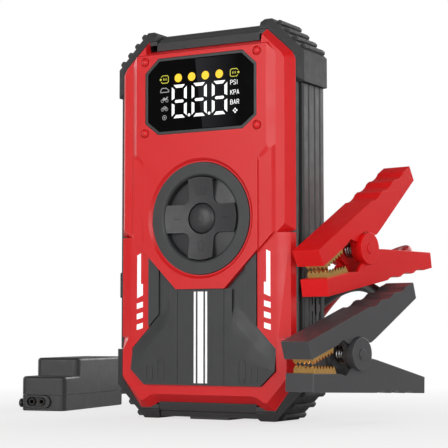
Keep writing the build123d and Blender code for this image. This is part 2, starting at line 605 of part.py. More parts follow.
module_board += block((-8, 8), (36, 56), (13.0, 28.0)) + block((-7, 7), (62, 70), (13.0, 18.0))
add("module_board", MODULE * module_board)
knob = Pos(-half - 1.0, 3.8, 4.6) * Rot(0, 90, 0) * Cylinder(2.7, 2.0)
knob += Pos(-half - 0.2, 3.8, 4.6) * Rot(0, 90, 0) * Cylinder(1.5, 1.2)
knob = fillet(knob.faces().sort_by(Axis.X)[0].outer_wire().edges(), 0.8)
PARTS["module_base"] -= MODULE * (Pos(-half, 3.8, 4.6) * Rot(0, 90, 0) * Cylinder(1.55, 2.0))
add("module_knob", MODULE * knob)
GROMMET = 10.0
grommets = []
for side in (-1, 1):
    sleeve = Pos(side * 7.0, MODULE_LONG + GROMMET / 2, 9.5) * Rot(-90, 0, 0) * Cone(5.2, 3.8, GROMMET)
    grommets.append(MODULE * sleeve)
add("lead_grommets", group(grommets))

# ---- the battery clamps ----------------------------------------------------------------------

WAVES = (23.0, 36.5, 50.0)
FLOOR_IN = -17.5
PIN_R = 2.8


def along_x(y, z, radius, x_from, x_to):
    """A round along X, centred at (y, z)."""
    return Pos((x_from + x_to) / 2, y, z) * Rot(0, 90, 0) * Cylinder(radius, x_to - x_from)


def lever(tail, outer_ears, notch):
    """A lower lever about its pivot at the origin: its jaw points to -Y, its inside is up."""
    side = [(-TIP, -20), (-TIP, -10.6), (-16, -10.4), (-10.5, -11.4), (-7, -8), (8, -3.2),
            (13, -2.0), (17, -2.5), (tail, -11.0), (tail, -20)]
    body = across(side, -CLAMP_HALF, CLAMP_HALF)
    for y in WAVES:
        body -= along_x(y, -20 - 10.8, 12.0, -20, 20)
    inside = [(-TIP + 3.4, FLOOR_IN), (-TIP + 3.4, 20), (tail - 2, 20), (tail - 2, FLOOR_IN)]
    body -= across(inside, -CLAMP_HALF + CLAMP_WALL, CLAMP_HALF - CLAMP_WALL)
    inner_half = CLAMP_HALF - CLAMP_WALL
    for sx in (1, -1):
        if outer_ears:
            low, high = sorted((sx * inner_half, sx * 11.2))
            body += along_x(0, 0, EAR_R, low, high)
        else:
            low, high = sorted((sx * (inner_half - 0.1), sx * 12))
            body -= along_x(0, 0, EAR_R + 0.45, low, high)
            low, high = sorted((sx * 4.1, sx * (inner_half - 0.3)))
            body += along_x(0, 0, EAR_R - 0.7, low, high)
            body += block((low, high), (-6.5, 6.5), (-18.5, 0))
            low, high = sorted((sx * 4.1, sx * (inner_half + 0.5)))
            body += block((low, high), (-6.5, 6.5), (-18.5, -10.2))
    if notch:
        body -= block((-10, -5), (notch[0], notch[1]), (notch[2], 0))
    body -= along_x(0, 0, PIN_R + 0.05, -20, 20)
    return body


TOOTH_PITCH, TOOTH_DEPTH, TOOTH_TIP = 2.6, 1.8, -6.6


def jaw(tail):
    """A toothed copper jaw that lies in a lower lever, with its tongue running back."""
    row = [(-35.8, -12.5)]
    count = 7
    for k in range(count):
        start = -35.8 + TOOTH_PITCH * k
        row += [(start, TOOTH_TIP - TOOTH_DEPTH), (start + TOOTH_PITCH * 0.45, TOOTH_TIP),
                (start + TOOTH_PITCH * 0.55, TOOTH_TIP)]
    row += [(-35.8 + TOOTH_PITCH * count, TOOTH_TIP - TOOTH_DEPTH), (-15.5, -12.5)]
    plate = block((-6.5, 6.5), (-35.8, -14), (-13.2, -12.2)) + block((-3.2, 3.2), (-15, 9.0), (-13.2, -12.2))
    plate += across(row, -6.5, -5.5) + across(row, 5.5, 6.5)
    front = [(-6.5, -12.5)]
    for k in range(5):
        start = -6.5 + TOOTH_PITCH * k
        front += [(start, TOOTH_TIP - TOOTH_DEPTH), (start + TOOTH_PITCH * 0.5, TOOTH_TIP)]
    front += [(6.5, TOOTH_TIP - TOOTH_DEPTH), (6.5, -12.5)]
    plate += slab(front, -35.8, -34.8)
    if tail:
        plate += block((-3.2, 3.2), (8.0, 10.8), (-16.8, -11.0))
    return plate


def spring():
    """The torsion spring round the pivot pin: a coil and its two straight legs."""
    radius, wire_r, pitch, turns = 4.3, 0.62, 1.6, 3.5
    half_wide = turns * pitch / 2
    helix = Rot(180, 0, 0) * Pos(-half_wide, 0, 0) * Rot(0, 90, 0) * Helix(pitch, turns * pitch, radius)
    section = Plane(origin=helix @ 0, z_dir=helix % 0) * Circle(wire_r)
    coil = sweep(section, path=helix, is_frenet=True)
    for tip, up in ((helix @ 0, 1), (helix @ 1, -1)):
        start = Vector(tip.X, tip.Y - 0.25, tip.Z)
        end = Vector(start.X, 9.0, up * 8.4)
        way = end - start
        leg = extrude(Plane(origin=start, z_dir=way) * Circle(wire_r), amount=way.length)
        coil = coil + leg
    return coil


def clamp(colour, pivot, pitch, lead_in_lower):
    """One clamp: its two levers and jaws, placed about its pivot. Returns the pin and spring."""
    place = Location(pivot, (0, 0, CLAMP_YAW)) * Location((0, 0, 0), (pitch, 0, 0))
    upper = place * Location((0, 0, 0), (GAPE, 0, 0))
    low_notch = (50.5, 61.5, -15.6) if lead_in_lower else None
    high_notch = None if lead_in_lower else (48.0, 60.4, -17.4)
    flip = Plane.XY
    add(f"clamp_{colour}_lower", place * lever(TAIL, True, low_notch))
    add(f"clamp_{colour}_upper", upper * mirror(lever(TAIL - 2, False, high_notch), about=flip))
    add(f"jaw_{colour}_lower", place * jaw(lead_in_lower))
    add(f"jaw_{colour}_upper", upper * mirror(jaw(not lead_in_lower), about=flip))
    pin = along_x(0, 0, PIN_R, -11.6, 11.6)
    return place * pin, place * spring()


red_pin, red_spring = clamp("red", RED_PIVOT, RED_PITCH, True)
black_pin, black_spring = clamp("black", BLACK_PIVOT, BLACK_PITCH, False)
add("clamp_pins", group([red_pin, black_pin]))
add("clamp_springs", group([red_spring, black_spring]))

# ---- the leads -------------------------------------------------------------------------------


def lead(name, points):
    """A round lead along straight runs joined by arcs as large as the runs allow."""
    spots = [Vector(*p) for p in points]
    radii = []
    for before, here, after in zip(spots, spots[1:], spots[2:]):
        one, two = here - before, after - here
        turn = math.radians(one.get_angle(two))
        radii.append(0.45 * min(one.length, two.length) / math.tan(turn / 2))
    line = FilletPolyline(*spots, radius=radii)
    start = Plane(origin=spots[0], z_dir=spots[1] - spots[0])
    tube = sweep(start * Circle(LEAD_R), path=line)
    length = line.length
    print(name, "length", round(length, 1), "volume ratio",
          round(tube.volume / (math.pi * LEAD_R ** 2 * length), 3),
          "radii", [round(r, 1) for r in radii])
    add(name, tube)


lead("lead_red", RED_ROUTE)
lead("lead_black", BLACK_ROUTE)

os.makedirs("parts", exist_ok=True)
for name, shape in PARTS.items():
    export_step(shape, f"parts/{name}.step")
print("nodes:", len(PARTS))
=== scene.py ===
import json
import math

import bmesh
import bpy
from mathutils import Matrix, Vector


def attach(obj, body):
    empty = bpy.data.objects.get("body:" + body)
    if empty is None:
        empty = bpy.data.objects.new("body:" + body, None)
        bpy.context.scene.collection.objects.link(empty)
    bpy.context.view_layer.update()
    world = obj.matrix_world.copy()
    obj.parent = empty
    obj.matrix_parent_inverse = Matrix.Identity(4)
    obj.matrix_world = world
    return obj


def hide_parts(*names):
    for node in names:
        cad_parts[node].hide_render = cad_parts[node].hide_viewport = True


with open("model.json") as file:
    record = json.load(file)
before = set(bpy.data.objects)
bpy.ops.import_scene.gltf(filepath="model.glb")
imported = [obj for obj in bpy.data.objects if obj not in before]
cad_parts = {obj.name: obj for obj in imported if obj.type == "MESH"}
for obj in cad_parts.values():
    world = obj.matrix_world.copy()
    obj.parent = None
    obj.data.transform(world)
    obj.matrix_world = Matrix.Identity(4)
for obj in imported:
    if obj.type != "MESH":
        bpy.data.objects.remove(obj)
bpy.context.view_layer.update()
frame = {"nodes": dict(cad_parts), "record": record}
MM = 0.001


# ---- small helpers ---------------------------------------------------------------------------

def link_new(name, data):
    """A new object in the scene that holds this data."""
    obj = bpy.data.objects.new(name, data)
    bpy.context.collection.objects.link(obj)
    return obj


def add_ramp(tree, value, start, end, low, high):
    """Maps a value from start..end to low..high, and returns the result."""
    ramp = tree.nodes.new("ShaderNodeMapRange")
    ramp.inputs["From Min"].default_value = start
    ramp.inputs["From Max"].default_value = end
    ramp.inputs["To Min"].default_value = low
    ramp.inputs["To Max"].default_value = high
    tree.links.new(value, ramp.inputs["Value"])
    return ramp.outputs["Result"]


def add_colour_mix(tree, factor, first, second):
    """Mixes two colours, each a fixed colour or another node's output, by a factor."""
    mix = tree.nodes.new("ShaderNodeMix")
    mix.data_type = "RGBA"
    tree.links.new(factor, mix.inputs[0])
    for socket, colour in ((mix.inputs[6], first), (mix.inputs[7], second)):
        if isinstance(colour, bpy.types.NodeSocket):
            tree.links.new(colour, socket)
        else:
            socket.default_value = colour
    return mix.outputs[2]


# ---- the camera ------------------------------------------------------------------------------

# The camera stands low, to the right of the front. It heads back to the left, and its aim is
# turned from that heading by these parts of its reach, to the right and upwards.
CAMERA_AT = Vector((0.4150, -0.7093, 0.0487))
HEADING = math.radians(31.16)
AIM_RIGHT, AIM_UP = 0.01686, 0.07346
FOCAL_LENGTH, SENSOR = 117.2, 36.0
forward = Vector((-math.sin(HEADING), math.cos(HEADING), 0))
right = Vector((math.cos(HEADING), math.sin(HEADING), 0))
aim = forward + right * AIM_RIGHT + Vector((0, 0, AIM_UP))
camera = link_new("camera", bpy.data.cameras.new("camera"))
camera.location = CAMERA_AT
camera.rotation_euler = aim.to_track_quat("-Z", "Y").to_euler()
camera.data.sensor_width = SENSOR
camera.data.lens = FOCAL_LENGTH
camera.data.clip_start = 0.01
bpy.context.scene.camera = camera


# ---- materials -------------------------------------------------------------------------------

def lin(red, green, blue):
    """A colour given as on-screen values from 0 to 255, as linear light."""
    parts = []
    for value in (red, green, blue):
        v = value / 255
        parts.append(v / 12.92 if v <= 0.04045 else ((v + 0.055) / 1.055) ** 2.4)
    return (*parts, 1.0)


def shade(colour, factor):
    """A colour made lighter or darker by a factor."""
    return (*[min(1, c * factor) for c in colour[:3]], 1.0)


GRAIN_DEPTH = 0.12 * MM
EDGE_WEAR_AND_HIGHLIGHT_RADIUS = 0.7 * MM


def finish(name, colour, rough=0.45, grain=0.2, grain_size=0.35, variation=0.08, patch=25.0,
           edge_wear_and_highlight=0.0, edge_wear_and_highlight_colour=None, metallic=0.0, specular=0.5, coat=0.0, coat_rough=0.15,
           rough_spread=0.06, streak=None):
    """A material with colour variation, moulded grain, uneven gloss and lightened edges, which
    are part rubbed wear and part painted highlight.

    grain_size is in millimetres, and patch is how many patches of colour a metre holds.
    """
    m = bpy.data.materials.new(name)
    m.use_nodes = True
    tree = m.node_tree
    nodes, links = tree.nodes, tree.links
    shader = nodes["Principled BSDF"]
    shader.inputs["Metallic"].default_value = metallic
    shader.inputs["Specular IOR Level"].default_value = specular
    shader.inputs["Coat Weight"].default_value = coat
    shader.inputs["Coat Roughness"].default_value = coat_rough
    place = nodes.new("ShaderNodeTexCoord")
    stretched = place.outputs["Object"]
    if streak:
        mapping = nodes.new("ShaderNodeMapping")
        mapping.inputs["Scale"].default_value = streak
        links.new(place.outputs["Object"], mapping.inputs["Vector"])
        stretched = mapping.outputs["Vector"]

    def noise(scale, detail, vector):
        n = nodes.new("ShaderNodeTexNoise")
        n.inputs["Scale"].default_value = scale
        n.inputs["Detail"].default_value = detail
        links.new(vector, n.inputs["Vector"])
        return n.outputs["Fac"]

    colour_out = add_colour_mix(tree, noise(patch, 4, stretched), shade(colour, 1 - variation),
                                shade(colour, 1 + variation))
    gloss = add_ramp(tree, noise(patch * 6, 5, stretched), 0.3, 0.7,
                     max(0.02, rough - rough_spread), min(1, rough + rough_spread))
    links.new(gloss, shader.inputs["Roughness"])
    bump = nodes.new("ShaderNodeBump")
    bump.inputs["Strength"].default_value = grain
    bump.inputs["Distance"].default_value = GRAIN_DEPTH
    links.new(noise(1000 / grain_size, 3, stretched), bump.inputs["Height"])
    if edge_wear_and_highlight:
        # Where a rounded normal leaves the real one, there is an edge, and it is lightened: part
        # rubbed wear, part painted highlight.
        rounded = nodes.new("ShaderNodeBevel")
        rounded.samples = 4
        rounded.inputs["Radius"].default_value = EDGE_WEAR_AND_HIGHLIGHT_RADIUS
        geometry = nodes.new("ShaderNodeNewGeometry")
        dot = nodes.new("ShaderNodeVectorMath")
        dot.operation = "DOT_PRODUCT"
        links.new(rounded.outputs["Normal"], dot.inputs[0])
        links.new(geometry.outputs["Normal"], dot.inputs[1])
        edge = add_ramp(tree, dot.outputs["Value"], 0.995, 0.90, 0.0, edge_wear_and_highlight)
        colour_out = add_colour_mix(tree, edge, colour_out, edge_wear_and_highlight_colour or shade(colour, 2.2))
    links.new(colour_out, shader.inputs["Base Color"])
    links.new(bump.outputs["Normal"], shader.inputs["Normal"])
    return m


def lit(name, colour, strength, base=0.4):
    """A printed or back-lit mark that glows a little; on a printed mark the glow is painted
    brightness.
    """
    m = finish(name, shade(colour, base), rough=0.4, grain=0.05, variation=0.05)
    shader = m.node_tree.nodes["Principled BSDF"]
    shader.inputs["Emission Color"].default_value = colour
    shader.inputs["Emission Strength"].default_value = strength
    return m


MATERIALS = {
    "red_cover": finish("red_cover", lin(212, 24, 28), rough=0.36, grain=0.06, grain_size=0.7,
                        variation=0.05, patch=14, edge_wear_and_highlight=0.35, edge_wear_and_highlight_colour=lin(236, 72, 74),
                        specular=0.38, coat=0.04, coat_rough=0.3),
    "dark_plastic": finish("dark_plastic", lin(48, 48, 49), rough=0.5, grain=0.35, variation=0.10,
                           edge_wear_and_highlight=0.3, edge_wear_and_highlight_colour=lin(120, 120, 122), patch=30),
    "module_plastic": finish("module_plastic", lin(42, 42, 43), rough=0.42, grain=0.25,
                             variation=0.08, edge_wear_and_highlight=0.35, edge_wear_and_highlight_colour=lin(110, 110, 112), patch=30),
    # The socket contacts are dark: painted shade standing for the shadow deep in their recesses.
    "contact_painted_shade": finish("contact_painted_shade", lin(40, 36, 32), rough=0.4, grain=0.2, variation=0.2,
                           metallic=0.6, patch=120),
    "panel_plastic": finish("panel_plastic", lin(50, 51, 52), rough=0.50, grain=0.25,
                            variation=0.06, edge_wear_and_highlight=0.25, edge_wear_and_highlight_colour=lin(112, 112, 114), patch=22),
    "key_rubber": finish("key_rubber", lin(47, 47, 49), rough=0.42, grain=0.2, variation=0.07,
                         edge_wear_and_highlight=0.2, edge_wear_and_highlight_colour=lin(110, 110, 110), patch=40),
    "bezel_plastic": finish("bezel_plastic", lin(44, 45, 46), rough=0.4, grain=0.15,
                            variation=0.06, edge_wear_and_highlight=0.3, edge_wear_and_highlight_colour=lin(104, 104, 106)),
    "plug_plastic": finish("plug_plastic", lin(34, 34, 36), rough=0.45, grain=0.2, variation=0.08,
                           edge_wear_and_highlight=0.2, edge_wear_and_highlight_colour=lin(80, 80, 82)),
    "black_rubber": finish("black_rubber", lin(44, 44, 45), rough=0.62, grain=0.45,
                           grain_size=0.5, variation=0.12, edge_wear_and_highlight=0.25,
                           edge_wear_and_highlight_colour=lin(100, 100, 102), patch=45),
    "screen_glass": finish("screen_glass", lin(7, 7, 8), rough=0.07, grain=0.0, variation=0.2,
                           rough_spread=0.02, specular=0.06, patch=12),
    # A painted reflection: a pale film laid over the black display glass.
    "screen_painted_reflection": finish("screen_painted_reflection", lin(40, 40, 43), rough=0.10, grain=0.0,
                           variation=0.3, rough_spread=0.03, specular=0.06, patch=18),
    "screw_steel": finish("screw_steel", lin(176, 176, 180), rough=0.26, grain=0.12,
                          variation=0.1, metallic=1.0, patch=80),
    "board_green": finish("board_green", lin(20, 88, 52), rough=0.4, grain=0.3, variation=0.25,
                          patch=160),
    "display_body": finish("display_body", lin(205, 205, 200), rough=0.5, variation=0.06),
    "cell_wrap": finish("cell_wrap", lin(178, 182, 186), rough=0.34, grain=0.6, grain_size=2.5,
                        variation=0.12, metallic=0.9, patch=60),
    "motor_steel": finish("motor_steel", lin(150, 150, 152), rough=0.3, grain=0.25,
                          variation=0.12, metallic=1.0, streak=(1, 12, 1)),
    "nylon": finish("nylon", lin(226, 222, 206), rough=0.45, grain=0.2, variation=0.06),
    "pump_aluminium": finish("pump_aluminium", lin(188, 190, 194), rough=0.38, grain=0.5,
                             grain_size=0.6, variation=0.1, metallic=1.0),
    "clamp_red_plastic": finish("clamp_red_plastic", lin(226, 18, 21), rough=0.34, grain=0.05,
                                grain_size=0.8, variation=0.05, edge_wear_and_highlight=0.25,
                                edge_wear_and_highlight_colour=lin(240, 70, 68), specular=0.3, patch=30),
    "clamp_black_plastic": finish("clamp_black_plastic", lin(66, 66, 68), rough=0.36, grain=0.14,
                                  variation=0.08, edge_wear_and_highlight=0.3, edge_wear_and_highlight_colour=lin(112, 112, 114),
                                  coat=0.1, patch=30),
    "copper": finish("copper", lin(226, 176, 104), rough=0.2, grain=0.2, variation=0.14,
                     metallic=1.0, patch=120),
    "lead_red_sleeve": finish("lead_red_sleeve", lin(196, 10, 14), rough=0.42, grain=0.3,
                              grain_size=0.8, variation=0.1, patch=60),
    "lead_black_sleeve": finish("lead_black_sleeve", lin(36, 36, 38), rough=0.44, grain=0.3,
                                grain_size=0.8, variation=0.12, patch=60),
    # White paint for the panel stripes and frame dashes; its small glow is painted brightness,
    # not a lamp.
    "paint_white_painted_glow": lit("paint_white_painted_glow", lin(250, 250, 250), 0.25, 0.9),
    "glow_white": lit("glow_white", lin(255, 255, 255), 0.85),
    "glow_grey": lit("glow_grey", lin(190, 190, 190), 0.4),
    "glow_yellow": lit("glow_yellow", lin(255, 205, 30), 0.8),
    "glow_lime": lit("glow_lime", lin(225, 220, 70), 0.6),
    # Dark print on the keys, also used for the painted shadow lines in the panel's pill outlines.
    "dark_print_and_painted_shadow": finish("dark_print_and_painted_shadow", lin(28, 28, 30), rough=0.6, grain=0.1, variation=0.1),
    "lamp_glass": finish("lamp_glass", lin(236, 238, 242), rough=0.12, grain=0.1, variation=0.03),
}
lamp_shader = MATERIALS["lamp_glass"].node_tree.nodes["Principled BSDF"]
lamp_shader.inputs["Transmission Weight"].default_value = 0.85


def fading(material, from_x, to_x, colour):
    """Fades a material's colour to this one along X, from one place to another."""
    tree = material.node_tree
    base = tree.nodes["Principled BSDF"].inputs["Base Color"]
    place = tree.nodes.new("ShaderNodeTexCoord")
    split_up = tree.nodes.new("ShaderNodeSeparateXYZ")
    tree.links.new(place.outputs["Object"], split_up.inputs["Vector"])
    faded = add_ramp(tree, split_up.outputs["X"], from_x, to_x, 0.0, 1.0)
    tree.links.new(add_colour_mix(tree, faded, base.links[0].from_socket, colour), base)


# The painted reflection fades from its pale colour to the glass's black towards the right.
fading(MATERIALS["screen_painted_reflection"], -0.001, 0.024, lin(8, 8, 9))


# ---- mesh helpers ----------------------------------------------------------------------------

def new_object(name, verts, faces, material, body, smooth=False):
    """A mesh object in the row frame, from points in metres."""
    mesh = bpy.data.meshes.new(name)
    mesh.from_pydata([tuple(v) for v in verts], [], faces)
    mesh.update()
    obj = link_new(name, mesh)
    mesh.materials.append(MATERIALS[material])
    for face in mesh.polygons:
        face.use_smooth = smooth
    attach(obj, body)
    return obj


SAME_POINT = 1e-6                       # metres: closer points are one point
FLAT_WITHIN = math.radians(0.6)         # faces that meet flatter than this are one face
ROUND_ABOVE = math.radians(28)          # edges sharper than this are rounded


def rounded_copy(node, material, width):
    """A copy of a CAD node's mesh with its edges rounded by a width in mm, to stand for it."""
    mesh = frame["nodes"][node].data.copy()
    mesh.name = node + "_shell"
    work = bmesh.new()
    work.from_mesh(mesh)
    bmesh.ops.remove_doubles(work, verts=work.verts, dist=SAME_POINT)
    bmesh.ops.dissolve_limit(work, angle_limit=FLAT_WITHIN, verts=work.verts, edges=work.edges)
    work.to_mesh(mesh)
    work.free()
    if mesh.has_custom_normals:
        mesh.normals_split_custom_set_from_vertices([(0, 0, 0)] * len(mesh.vertices))
    obj = link_new(node + "_shell", mesh)
    mesh.materials.clear()
    mesh.materials.append(MATERIALS[material])
    for face in mesh.polygons:
        face.use_smooth = True
    bevel = obj.modifiers.new("rounded", "BEVEL")
    bevel.width = width * MM
    bevel.segments = 2
    bevel.limit_method = "ANGLE"
    bevel.angle_limit = ROUND_ABOVE
    bevel.use_clamp_overlap = True
    normals = obj.modifiers.new("normals", "WEIGHTED_NORMAL")
    normals.keep_sharp = True
    normals.weight = 60
    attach(obj, body_of[node])
    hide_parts(node)
    return obj


# ---- the two leads ---------------------------------------------------------------------------

# The control points of each lead, in metres, from the module to the crimp in its clamp.
LEAD_R = 0.00325
RED_ROUTE = [
    (-0.15797, 0.10844, 0.0095), (-0.1628, 0.1351, 0.0095), (-0.1482, 0.1659, 0.006),
    (-0.1183, 0.1824, 0.0042), (-0.0853, 0.1785, 0.0042), (-0.048, 0.1445, 0.0125),
    (-0.0205, 0.123, 0.0315), (0.006, 0.104, 0.054), (0.032, 0.089, 0.075),
    (0.0575, 0.078, 0.0885), (0.0868, 0.0748, 0.0978), (0.0811, 0.04839, 0.08539),
    (0.07766, 0.02781, 0.08163),
]
BLACK_ROUTE = [
    (-0.14419, 0.11094, 0.0095), (-0.1485, 0.1346, 0.0095), (-0.1373, 0.1582, 0.006),
    (-0.1145, 0.1708, 0.0042), (-0.0893, 0.1678, 0.0042), (-0.0545, 0.133, 0.008),
    (-0.03, 0.1105, 0.0235), (-0.004, 0.0905, 0.0435), (0.022, 0.072, 0.0615),
    (0.0475, 0.0565, 0.0735), (0.071, 0.043, 0.0755), (0.09217, 0.02953, 0.06219),
    (0.08874, 0.00906, 0.05969), (0.08558, -0.00986, 0.05338),
]


def lead(node, route):
    """A stiff lead as one smooth spline through its route."""
    curve = bpy.data.curves.new(node + "_line", "CURVE")
    curve.dimensions = "3D"
    spline = curve.splines.new("NURBS")
    spline.points.add(len(route) - 1)
    for point, spot in zip(spline.points, route):
        point.co = (*spot, 1)
    spline.order_u = 3
    spline.use_endpoint_u = True
    spline.resolution_u = 16
    curve.bevel_depth = LEAD_R
    curve.bevel_resolution = 8
    obj = link_new(node + "_sleeve", curve)
    curve.materials.append(MATERIALS[node + "_sleeve"])
    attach(obj, "pack")
    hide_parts(node)


lead("lead_red", RED_ROUTE)
lead("lead_black", BLACK_ROUTE)

# ---- CAD nodes: their materials, and rounded copies of those that show -------------------------

slot_of = {part["node"]: part["material_slot"] for part in frame["record"]["subparts"]}
body_of = {node: body for body, members in frame["record"]["behaviour"]["bodies"].items()
           for node in members}

# A node takes the material named after its slot, apart from these.
NODE_FINISH = {
    "cover_screw_caps": "red_cover", "lower_panel": "panel_plastic",
    "button_ring": "panel_plastic", "rocker_key": "key_rubber", "power_button": "key_rubber",
    "ec5_socket": "plug_plastic", "module_plug": "plug_plastic", "module_knob": "plug_plastic",
    "plug_contacts": "contact_painted_shade",
}
for name, node in frame["nodes"].items():
    node.data.materials.clear()
    node.data.materials.append(MATERIALS[NODE_FINISH.get(name, slot_of[name])])

# The nodes that get rounded edges: the material, and the width of the rounding in mm.
ROUNDED = {
    "front_cover": ("red_cover", 0.35), "lower_panel": ("panel_plastic", 0.22),
    "button_ring": ("panel_plastic", 0.35), "rocker_key": ("key_rubber", 0.45),
    "power_button": ("key_rubber", 0.3), "display_bezel": ("bezel_plastic", 0.2),
    "housing": ("dark_plastic", 0.25), "rear_cover": ("dark_plastic", 0.35),
    "bumper_top_right": ("black_rubber", 0.4), "bumper_top_left": ("black_rubber", 0.4),
    "bumper_bottom_right": ("black_rubber", 0.4), "bumper_bottom_left": ("black_rubber", 0.4),
    "top_rail": ("dark_plastic", 0.25), "bottom_rail": ("dark_plastic", 0.3),
    "side_rail_right": ("dark_plastic", 0.22), "side_rail_left_low": ("dark_plastic", 0.22),
    "side_rail_left_high": ("dark_plastic", 0.22), "port_flap": ("black_rubber", 0.25),
    "clamp_red_lower": ("clamp_red_plastic", 0.4), "clamp_red_upper": ("clamp_red_plastic", 0.4),
    "clamp_black_lower": ("clamp_black_plastic", 0.4),
    "clamp_black_upper": ("clamp_black_plastic", 0.4),
    "jaw_red_lower": ("copper", 0.1), "jaw_red_upper": ("copper", 0.1),
    "jaw_black_lower": ("copper", 0.1), "jaw_black_upper": ("copper", 0.1),
    "module_base": ("module_plastic", 0.5), "module_cover": ("module_plastic", 1.2),
    "air_outlet": ("pump_aluminium", 0.25), "clamp_pins": ("screw_steel", 0.3),
    "rear_screws": ("screw_steel", 0.15), "module_screws": ("screw_steel", 0.15),
    "module_plug": ("plug_plastic", 0.2), "usb_board": ("board_green", 0.06),
    "ec5_socket": ("plug_plastic", 0.25), "lamp_lens": ("lamp_glass", 0.3),
}
shells = {node: rounded_copy(node, *look) for node, look in ROUNDED.items()}

# The port shells stand out from the port board and are steel. The tongue in the larger one is
# dark plastic, and is told by its thickness and its height in the port, in metres.
BOARD_FACE = -0.0433
TONGUE_Y = (-0.00365, -0.00175)
TONGUE_Z = (0.0715, 0.0829)
ports = shells["usb_board"].data
ports.materials.append(MATERIALS["screw_steel"])
ports.materials.append(MATERIALS["plug_plastic"])
for face in ports.polygons:
    x, y, z = face.center
    if x < BOARD_FACE:
        tongue = TONGUE_Y[0] < y < TONGUE_Y[1] and TONGUE_Z[0] < z < TONGUE_Z[1]
        face.material_index = 2 if tongue else 1

# The pivot pins have heads in the colour of their clamp. The red clamp is the upper one.
BETWEEN_CLAMPS = 0.065
pins = shells["clamp_pins"].data
pins.materials.clear()
pins.materials.append(MATERIALS["clamp_red_plastic"])
pins.materials.append(MATERIALS["clamp_black_plastic"])
for face in pins.polygons:
    face.material_index = 0 if face.center.z > BETWEEN_CLAMPS else 1


# ---- printed and lit marks -------------------------------------------------------------------

def bar(x0, z0, x1, z1, width):
    """A straight stroke as a four-cornered outline."""
    run = math.hypot(x1 - x0, z1 - z0)
    nx, nz = -(z1 - z0) / run * width / 2, (x1 - x0) / run * width / 2
    return [(x0 + nx, z0 + nz), (x1 + nx, z1 + nz), (x1 - nx, z1 - nz), (x0 - nx, z0 - nz)]


def strokes(points, width, closed=False):
    """Strokes along a line of points, each a little longer than its run so that they join."""
    runs = list(zip(points, points[1:] + (points[:1] if closed else [])))
    shapes = []
    for (ax, az), (bx, bz) in runs:
        length = math.hypot(bx - ax, bz - az)
        ex, ez = (bx - ax) / length * width * 0.35, (bz - az) / length * width * 0.35
        shapes.append(bar(ax - ex, az - ez, bx + ex, bz + ez, width))
    return shapes


def rounds(cx, cz, radius, count=32):
    """A full circle as points."""
    return [(cx + radius * math.cos(2 * math.pi * k / count),
             cz + radius * math.sin(2 * math.pi * k / count)) for k in range(count)]


def arc(cx, cz, radius, start, end, count=14):
    """An arc as points, from one angle to another in degrees."""
    angles = [math.radians(start + (end - start) * k / count) for k in range(count + 1)]
    return [(cx + radius * math.cos(a), cz + radius * math.sin(a)) for a in angles]


MARK_ROOT = 0.02        # mm that a mark sinks into its surface


def marks(name, shapes, depth, material, body="pack", thick=0.05):
    """Thin raised marks: outlines in mm across the front, at a depth that may vary."""
    level = depth if callable(depth) else (lambda x, z: depth)
    verts, faces = [], []
    for shape in shapes:
        area = sum(a[0] * b[1] - b[0] * a[1] for a, b in zip(shape, shape[1:] + shape[:1]))
        if area < 0:
            shape = shape[::-1]
        first, count = len(verts), len(shape)
        for x, z in shape:
            verts.append((x * MM, (level(x, z) - thick) * MM, z * MM))
        for x, z in shape:
            verts.append((x * MM, (level(x, z) + MARK_ROOT) * MM, z * MM))
        faces.append(tuple(first + k for k in range(count)))
        faces.append(tuple(first + count + k for k in reversed(range(count))))
        for k in range(count):
            n = (k + 1) % count
            faces.append((first + n, first + k, first + count + k, first + count + n))
    new_object(name, verts, faces, material, body)


# Depths of the faces that carry marks, and heights on the front, in mm in the shared frame.
LENS_FACE = -22.3
PANEL_FACE = -21.8
FRAME_FACE = -20.2
KEY_Z = 110.9
DIGIT_Z = 177.1
DOT_Z = 190.3
FLOW_Z = 190.2

# The display: three digits of seven segments, and four charge dots.
DIGIT_HALF_W, DIGIT_HALF_H, SEGMENT = 4.9, 9.4, 1.75
digits = []
for cx in (-13.75, -0.7, 12.4):
    for up in (1, -1):
        outer, inner = DIGIT_Z + up * DIGIT_HALF_H, DIGIT_Z + up * (DIGIT_HALF_H - SEGMENT)
        long, short = DIGIT_HALF_W - 1.2, DIGIT_HALF_W - 2.8
        digits.append([(cx - long, outer), (cx + long, outer), (cx + short, inner),
                       (cx - short, inner)])
        for side in (1, -1):
            edge, rim = cx + side * DIGIT_HALF_W, cx + side * (DIGIT_HALF_W - SEGMENT)
            digits.append([(edge, outer - up * 1.1), (edge, DIGIT_Z + up * 1.0),
                           (rim, DIGIT_Z + up * 1.8), (rim, outer - up * 2.7)])
    digits.append([(cx - 3.0, DIGIT_Z), (cx - 2.3, DIGIT_Z + 0.8), (cx + 2.3, DIGIT_Z + 0.8),
                   (cx + 3.0, DIGIT_Z), (cx + 2.3, DIGIT_Z - 0.8), (cx - 2.3, DIGIT_Z - 0.8)])
for cx in (-7.3, 5.7):
    digits.append(rounds(cx, 168.9, 0.85, 20))
marks("display_digits", digits, LENS_FACE, "glow_white")
dots = [rounds(cx, DOT_Z, 2.4) for cx in (-14.4, -5.6, 3.3, 12.2)]
marks("display_dots", dots, LENS_FACE, "glow_yellow")

